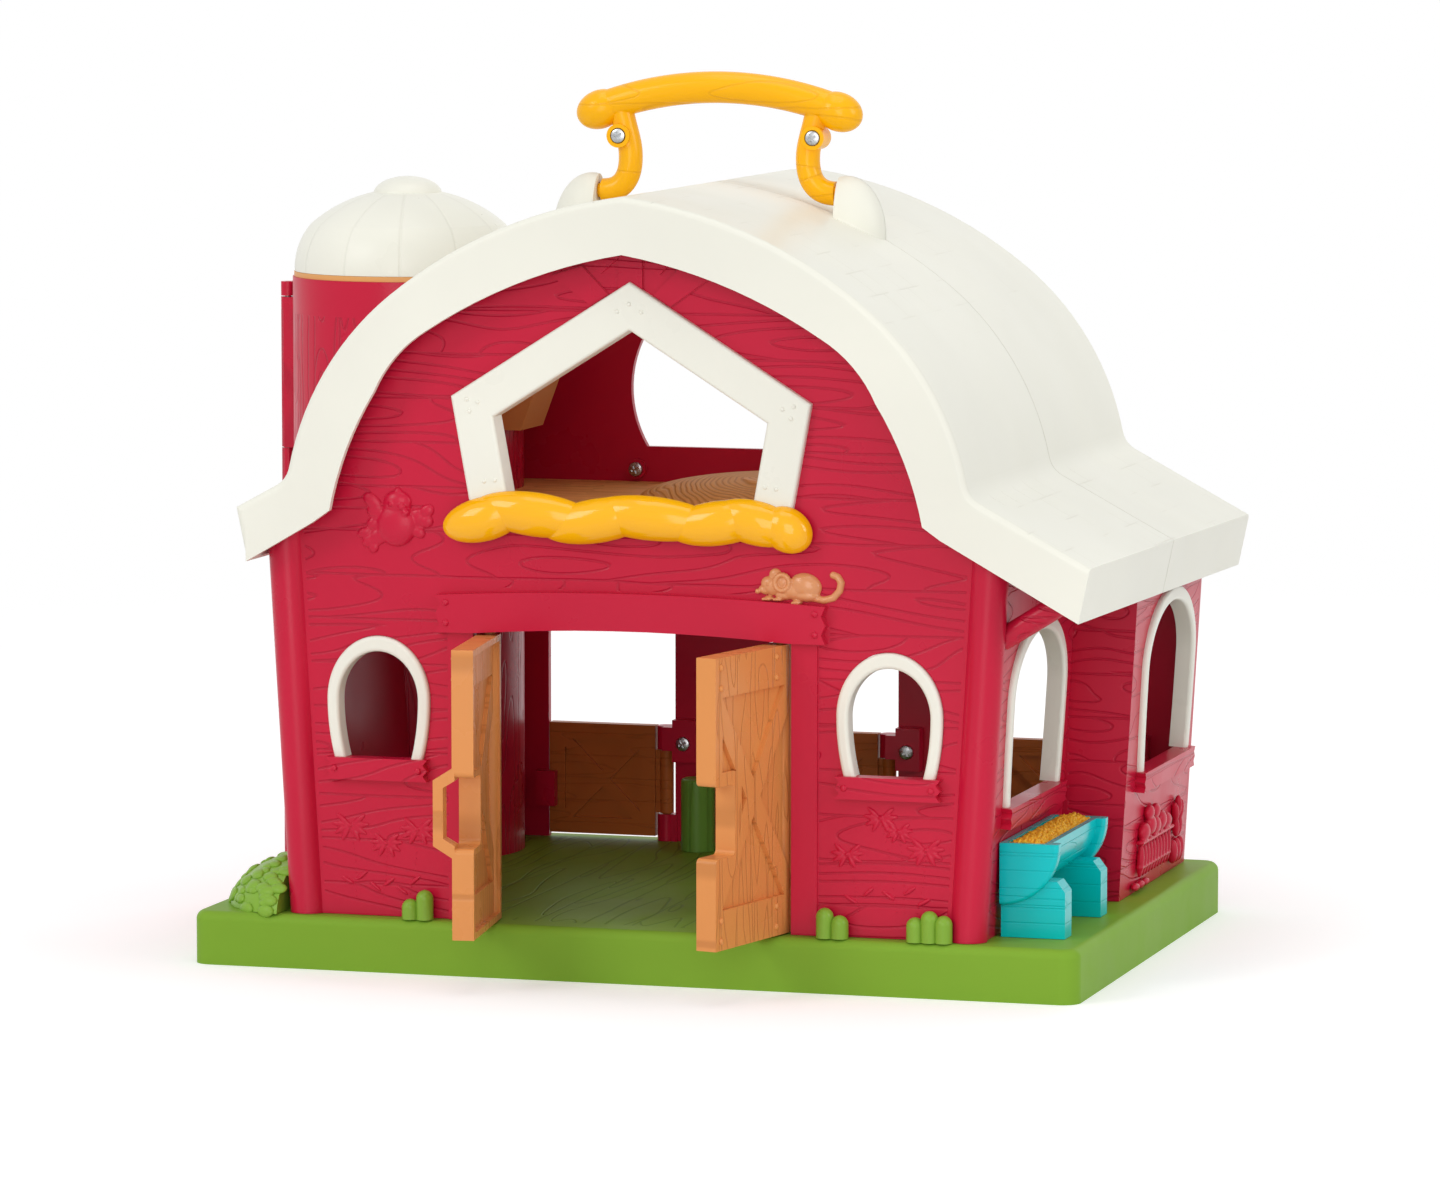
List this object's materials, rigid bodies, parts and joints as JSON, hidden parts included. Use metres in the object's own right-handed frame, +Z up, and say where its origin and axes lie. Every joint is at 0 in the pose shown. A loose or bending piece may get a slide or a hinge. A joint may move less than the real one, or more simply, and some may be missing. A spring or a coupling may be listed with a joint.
{
  "type": "toy barn with opening doors",
  "caption": "Moulded toy barn with a bell-shaped roof, hinged front doors, rear gates, a silo with its own door, a feeding trough and a folding carrying handle.",
  "frame": {"origin": "centre of the base's underside, on the ground", "axes": "+X towards the barn's right side seen from the front, +Y towards its back, +Z up"},
  "size_m": [0.3796, 0.2867, 0.3306],
  "materials": {
    "barn_red": "smooth moulded, low gloss",
    "cream_white": "smooth moulded, low gloss",
    "grass_green": "smooth moulded, low gloss",
    "door_tan": "moulded with wood grain",
    "gate_brown": "moulded with wood grain",
    "hay_tan": "moulded with straw texture",
    "straw_yellow": "smooth moulded, glossy",
    "trough_teal": "smooth moulded, glossy",
    "feed_yellow": "moulded with grain texture",
    "screw_steel": "bright zinc plated"
  },
  "bodies": {
    "barn": {"base": "grass_green", "base_plate": "grass_green", "bush_mound": "grass_green", "grass_tufts": "grass_green", "stump_post": "grass_green", "base_screws": "screw_steel", "front_wall": "barn_red", "left_wall": "barn_red", "right_wall": "barn_red", "rear_wall": "barn_red", "roof_front": "cream_white", "roof_rear": "cream_white", "loft_window_frame": "cream_white", "loft_rope_trim": "straw_yellow", "mouse_ornament": "hay_tan", "window_frame_front_left": "cream_white", "window_frame_front_right": "cream_white", "window_frame_right_front": "cream_white", "window_frame_right_rear": "cream_white", "silo_shell": "barn_red", "silo_hinge_pin": "screw_steel", "silo_collar": "hay_tan", "silo_dome": "cream_white", "silo_chute": "hay_tan", "loft_floor": "gate_brown", "hay_pile": "hay_tan", "gate_bracket_left": "barn_red", "gate_bracket_middle": "barn_red", "gate_bracket_right": "barn_red", "bracket_screws": "screw_steel", "loft_screws": "screw_steel", "trough": "trough_teal", "trough_feed": "feed_yellow"},
    "left_door_leaf": {"left_door": "door_tan"},
    "right_door_leaf": {"right_door": "door_tan"},
    "carry_handle": {"handle_front": "straw_yellow", "handle_rear": "straw_yellow", "handle_screws": "screw_steel"},
    "silo_door_leaf": {"silo_door": "barn_red"},
    "gate_left_leaf": {"gate_left": "gate_brown"},
    "gate_middle_leaf": {"gate_middle": "gate_brown"},
    "gate_right_leaf": {"gate_right": "gate_brown"}
  },
  "joints": [
    {"name": "left_door_hinge", "type": "hinge", "parent": "barn", "child": "left_door_leaf", "pos_m": [-0.056, -0.108, 0.0736], "axis": [0, 0, -1], "range_deg": [-82, 13]},
    {"name": "right_door_hinge", "type": "hinge", "parent": "barn", "child": "right_door_leaf", "pos_m": [0.056, -0.108, 0.0736], "axis": [0, 0, 1], "range_deg": [-77, 18]},
    {"name": "handle_pivot", "type": "hinge", "parent": "barn", "child": "carry_handle", "pos_m": [0, 0, 0.285], "axis": [1, 0, 0], "range_deg": [-70, 70]},
    {"name": "silo_door_hinge", "type": "hinge", "parent": "barn", "child": "silo_door_leaf", "pos_m": [-0.1973, 0.0645, 0.1235], "axis": [0, 0, 1], "range_deg": [0, 110]},
    {"name": "gate_left_hinge", "type": "hinge", "parent": "barn", "child": "gate_left_leaf", "pos_m": [-0.054, 0.1085, 0.044], "axis": [0, 0, -1], "range_deg": [0, 100]},
    {"name": "gate_middle_hinge", "type": "hinge", "parent": "barn", "child": "gate_middle_leaf", "pos_m": [0.038, 0.1085, 0.044], "axis": [0, 0, -1], "range_deg": [0, 100]},
    {"name": "gate_right_hinge", "type": "hinge", "parent": "barn", "child": "gate_right_leaf", "pos_m": [0.13, 0.1085, 0.044], "axis": [0, 0, -1], "range_deg": [0, 100]}
  ]
}
